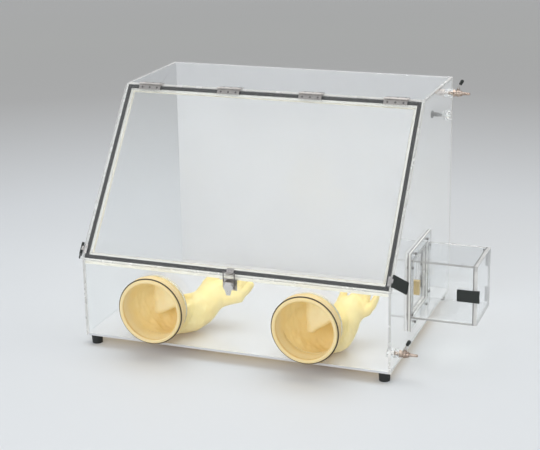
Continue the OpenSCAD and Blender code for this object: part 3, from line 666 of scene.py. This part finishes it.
# Each glove's shape, in millimetres from its port's centre: stops are (place, radius)
LEFT = {
    "sleeve": [((0, 6, 0), BORE_R), ((2, 28, -6), 71), ((19, 58, -27), 60), ((50, 89, -42), 49),
               ((74, 120, -33), 40), ((85, 146, -15), 33)],
    "sleeve_end": 128,
    "dent": ((-28, 32, -42), (140, 112, 160), 18, 0.56),
    "palm": [
        [((82, 144, -16), 30), ((104, 164, 0), 24)],
        [((84, 146, -16), 27), ((104, 170, 0), 17)], [((88, 150, -18), 26), ((126, 170, -4), 17)],
        [((88, 150, -20), 26), ((144, 170, -11), 16)], [((86, 146, -22), 25), ((154, 168, -18), 14)],
        [((70, 142, -16), 24), ((63, 158, -10), 18)],
    ],
    "fingers": [
        [((64, 156, -12), 18), ((70, 170, 8), 16.5), ((84, 178, 27), 13.5)],
        [((108, 170, -2), 14), ((116, 178, 13), 12.5), ((120, 181, 31), 11)],
        [((126, 170, -4), 14), ((136, 180, 12), 12.5), ((142, 183, 31), 11)],
        [((142, 170, -9), 13.5), ((156, 178, 8), 12), ((163, 181, 26), 10.5)],
        [((152, 168, -16), 12.5), ((170, 175, 0), 11), ((182, 177, 16), 9.5)],
    ],
    "box": ((-82, -38, -96), (204, 208, 84)),
}
RIGHT = {
    "sleeve": [((0, 6, 0), BORE_R), ((1, 28, -8), 71), ((16, 58, -28), 61), ((34, 89, -42), 50),
               ((46, 120, -32), 40), ((51, 142, -15), 33)],
    "sleeve_end": 124,
    "dent": ((-24, 32, -44), (120, 104, 160), 18, 0.7),
    "palm": [
        [((46, 138, -18), 30), ((58, 162, 0), 23)],
        [((46, 144, -16), 27), ((50, 170, 2), 15)], [((50, 148, -16), 26), ((64, 172, 0), 16)],
        [((52, 148, -20), 25), ((78, 170, -4), 15)], [((52, 144, -24), 25), ((91, 166, -15), 13)],
        [((34, 140, -18), 22), ((26, 156, -10), 15)],
    ],
    "fingers": [
        [((26, 156, -10), 14), ((28, 170, 6), 11), ((33, 178, 30), 8.5)],
        [((50, 170, 2), 12), ((58, 179, 16), 11), ((62, 182, 31), 9.5)],
        [((64, 172, 0), 12), ((73, 181, 16), 11), ((77, 184, 32), 9.5)],
        [((78, 170, -4), 12), ((88, 179, 12), 10.5), ((91, 182, 29), 9)],
        [((92, 166, -14), 11.5), ((107, 172, 2), 9.5), ((116, 175, 24), 8)],
    ],
    "box": ((-82, -38, -96), (140, 208, 84)),
}

for side, spec, seed in (("left", LEFT, 3.7), ("right", RIGHT, 9.1)):
    centre = (PORT_X[side], 0, PORT_Z)
    glove = make_glove(side + "_latex_glove", centre, spec, seed)
    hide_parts(side + "_glove")
    make_cuff(side + "_glove_cuff", centre, seed)


# ---------- clear pieces that touch ----------
for name in CLEAR_SHEETS + CLEAR_ROUNDS + ("door_frame_rails", "base_panel", "back_panel"):
    shrink(nodes[name], AIR * MM)


# ---------- studio ----------
FLOOR_R = 30.0
FLOOR_CENTRE = (0.05, -0.5, 0)
FADE_TO = 8.0
# The floor's tone by distance in metres from its centre, painted light and shade. Four round values, set so that
# the floor behind the object darkens and pales again about as the photograph's background does.
FLOOR_TONES = [
    (1.8, (0.71, 0.73, 0.745)), (3.5, (0.62, 0.61, 0.59)), (5.0, (0.72, 0.71, 0.67)), (6.4, (0.77, 0.755, 0.72)),
]


def floor_material():
    t = Tree("studio_floor")
    coords = t.add("ShaderNodeTexCoord")
    away = t.add("ShaderNodeVectorMath", operation="DISTANCE")
    t.link(coords.outputs["Object"], away.inputs[0])
    away.inputs[1].default_value = FLOOR_CENTRE
    fade = t.range(away.outputs["Value"], 0.0, 1.0, 0.0, FADE_TO)
    # The ramp paints the floor darker, then paler again, with distance: painted shade and light.
    colour = t.ramp(fade, [(r / FADE_TO, tone) for r, tone in FLOOR_TONES])
    t.surface(colour, 0.6, t.bump(t.noise(30), 0.02, 0.001))
    return t.material


def make_floor(rings=24, around=64):
    verts, faces = [(0, 0, 0)], []
    for i in range(1, rings + 1):
        r = FLOOR_R * (i / rings) ** 2
        verts += [(r * math.cos(2 * math.pi * j / around), r * math.sin(2 * math.pi * j / around), 0)
                  for j in range(around)]
    for j in range(around):
        faces.append((0, 1 + j, 1 + (j + 1) % around))
    for i in range(rings - 1):
        for j in range(around):
            a, b = 1 + i * around + j, 1 + i * around + (j + 1) % around
            faces.append((a, a + around, b + around, b))
    mesh = bpy.data.meshes.new("floor")
    mesh.from_pydata(verts, [], faces)
    mesh.materials.append(floor_material())
    floor = bpy.data.objects.new("floor", mesh)
    scene.collection.objects.link(floor)


def area_light(name, at, towards, size, power, colour):
    data = bpy.data.lights.new(name, "AREA")
    data.shape = "RECTANGLE"
    data.size, data.size_y = size
    data.energy = power
    data.color = colour
    lamp = bpy.data.objects.new(name, data)
    lamp.location = at
    lamp.rotation_euler = (Vector(towards) - Vector(at)).to_track_quat("-Z", "Y").to_euler()
    scene.collection.objects.link(lamp)


make_floor()
area_light("overhead", (0.15, 0.4, 2.6), (0.15, 0.1, 0.2), (3.2, 1.6), 37, (1, 0.99, 0.97))
area_light("front", (0.1, -3.6, 1.5), (0, 0, 0.3), (2.6, 1.6), 40, (1, 0.995, 0.985))
area_light("front_left", (-2.6, -2.4, 1.9), (0, 0, 0.3), (1.8, 1.6), 21, (0.97, 0.985, 1))
area_light("right_fill", (2.8, -0.6, 1.4), (0, 0, 0.3), (1.4, 1.4), 8, (1, 0.99, 0.97))
world = bpy.data.worlds.new("studio")
world.use_nodes = True
background = world.node_tree.nodes["Background"]
background.inputs["Color"].default_value = (0.60, 0.62, 0.65, 1)
background.inputs["Strength"].default_value = 0.79
scene.world = world
scene.view_settings.view_transform = "Standard"
scene.cycles.max_bounces = 24
scene.cycles.transmission_bounces = 24
scene.cycles.transparent_max_bounces = 32

# ---------- camera ----------
CAMERA_AT = (1.11064, -3.14627, 1.33931)
LENS, SENSOR = 90.867, 36
YAW, PITCH, ROLL = (math.radians(a) for a in (20.553, -15.37, -0.98))
ahead = Vector((-math.sin(YAW) * math.cos(PITCH), math.cos(YAW) * math.cos(PITCH), math.sin(PITCH)))
level = Vector((math.cos(YAW), math.sin(YAW), 0))
upward = level.cross(ahead)
right = math.cos(ROLL) * level + math.sin(ROLL) * upward
up = math.cos(ROLL) * upward - math.sin(ROLL) * level
camera_data = bpy.data.cameras.new("camera")
camera_data.sensor_width = SENSOR
camera_data.lens = LENS
camera_data.shift_y = -0.1
camera = bpy.data.objects.new("camera", camera_data)
camera.matrix_world = Matrix((
    (right.x, up.x, -ahead.x, CAMERA_AT[0]),
    (right.y, up.y, -ahead.y, CAMERA_AT[1]),
    (right.z, up.z, -ahead.z, CAMERA_AT[2]),
    (0, 0, 0, 1),
))
scene.collection.objects.link(camera)
scene.camera = camera
